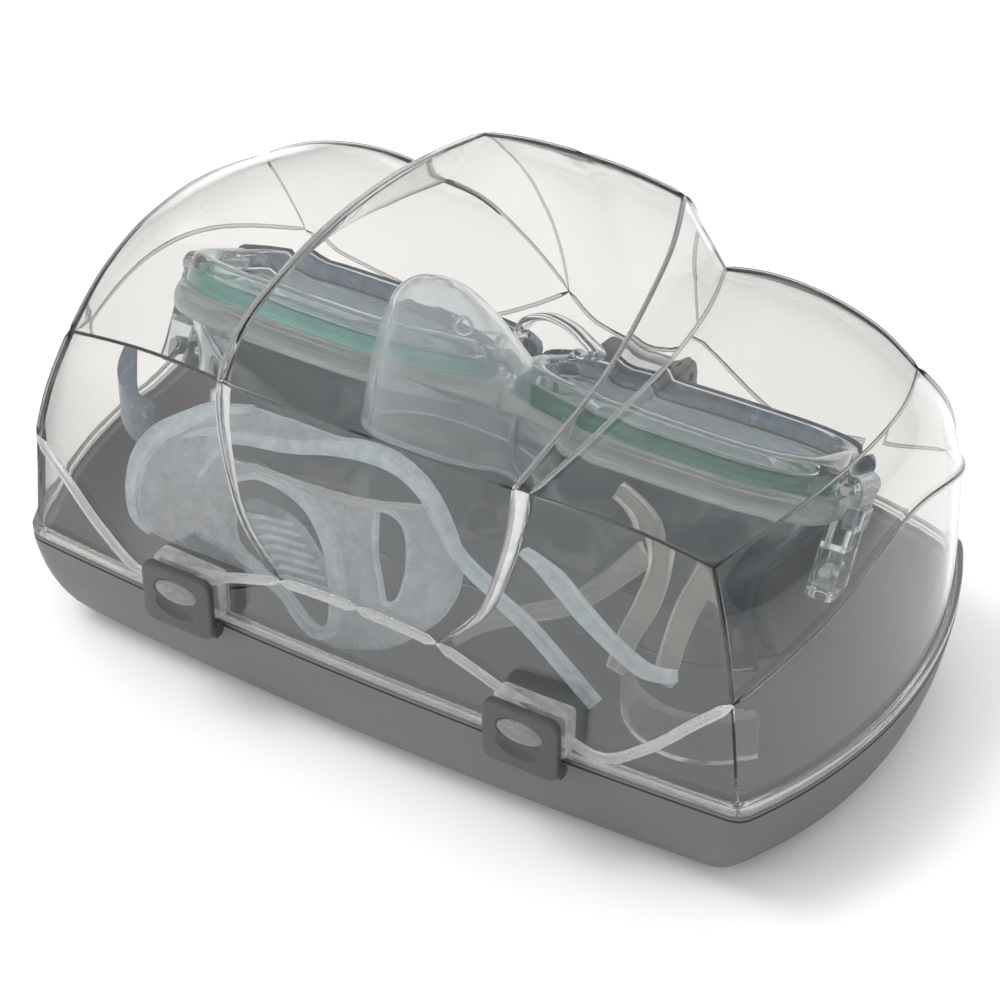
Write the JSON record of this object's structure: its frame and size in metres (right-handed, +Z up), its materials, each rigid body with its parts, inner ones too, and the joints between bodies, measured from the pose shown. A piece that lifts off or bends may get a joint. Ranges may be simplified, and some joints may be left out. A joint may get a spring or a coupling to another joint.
{
  "type": "diving mask in hinged storage case",
  "caption": "Clear-lidded hinged storage case with two front latches, holding a two-lens diving mask with its strap, buckles and skirt.",
  "frame": {"origin": "centre of the whole object's box, at the level of the tray's underside", "axes": "+X along the case's long side, towards its right end seen from the latches; -Y towards the latches; +Z up"},
  "size_m": [0.213, 0.1386, 0.111],
  "materials": {
    "case_grey": "fine matte moulded ABS",
    "lid_clear": "clear polished polycarbonate",
    "steel": "plain stainless",
    "lens_glass": "green-tinted tempered glass",
    "skirt_silicone": "clear liquid silicone",
    "strap_silicone": "translucent milky silicone",
    "trim_rubber": "dark blue-grey soft trim"
  },
  "bodies": {
    "case": {"case_base": "case_grey", "hinge_pin": "steel", "latch_pin_left": "steel", "latch_pin_right": "steel", "mask_frame": "lid_clear", "mask_skirt": "skirt_silicone", "lens_left": "lens_glass", "lens_right": "lens_glass", "lens_retainer_left": "lid_clear", "lens_retainer_right": "lid_clear", "brow_trim": "trim_rubber", "bridge_clip": "lid_clear", "buckle_pin_left": "steel", "buckle_pin_right": "steel", "head_strap_band": "strap_silicone", "strap_end_left": "trim_rubber", "strap_end_right": "strap_silicone"},
    "lid": {"case_lid": "lid_clear"},
    "latch_left": {"latch_plate_left": "case_grey", "latch_button_left": "lid_clear"},
    "latch_right": {"latch_plate_right": "case_grey", "latch_button_right": "lid_clear"},
    "buckle_left": {"buckle_left": "lid_clear", "buckle_roller_left": "steel"},
    "buckle_right": {"buckle_right": "lid_clear", "buckle_roller_right": "steel"},
    "release_left": {"buckle_button_left": "lid_clear"},
    "release_right": {"buckle_button_right": "lid_clear"}
  },
  "joints": [
    {"name": "lid_hinge", "type": "hinge", "parent": "case", "child": "lid", "pos_m": [0, 0.06585, 0.036], "axis": [-1, 0, 0], "range_deg": [0, 100]},
    {"name": "latch_left_hinge", "type": "hinge", "parent": "case", "child": "latch_left", "pos_m": [-0.0446, -0.06465, 0.0258], "axis": [1, 0, 0], "range_deg": [0, 95]},
    {"name": "buckle_left_swivel", "type": "hinge", "parent": "case", "child": "buckle_left", "pos_m": [-0.08233, 0.00051, 0.0714], "axis": [-0.0762, 0.8713, -0.4848], "range_deg": [-6, 12]},
    {"name": "release_left_press", "type": "slide", "parent": "buckle_left", "child": "release_left", "axis": [0.997, 0.0618, -0.0458], "range_m": [0, 0.0012], "stiffness_N_per_m": 600, "springref_m": -0.001},
    {"name": "latch_right_hinge", "type": "hinge", "parent": "case", "child": "latch_right", "pos_m": [0.0446, -0.06465, 0.0258], "axis": [1, 0, 0], "range_deg": [0, 95]},
    {"name": "buckle_right_swivel", "type": "hinge", "parent": "case", "child": "buckle_right", "pos_m": [0.08238, 0.01071, 0.06384], "axis": [0.0762, -0.8713, 0.4848], "range_deg": [-6, 12]},
    {"name": "release_right_press", "type": "slide", "parent": "buckle_right", "child": "release_right", "axis": [-0.997, -0.0618, 0.0458], "range_m": [0, 0.0012], "stiffness_N_per_m": 600, "springref_m": -0.001}
  ]
}
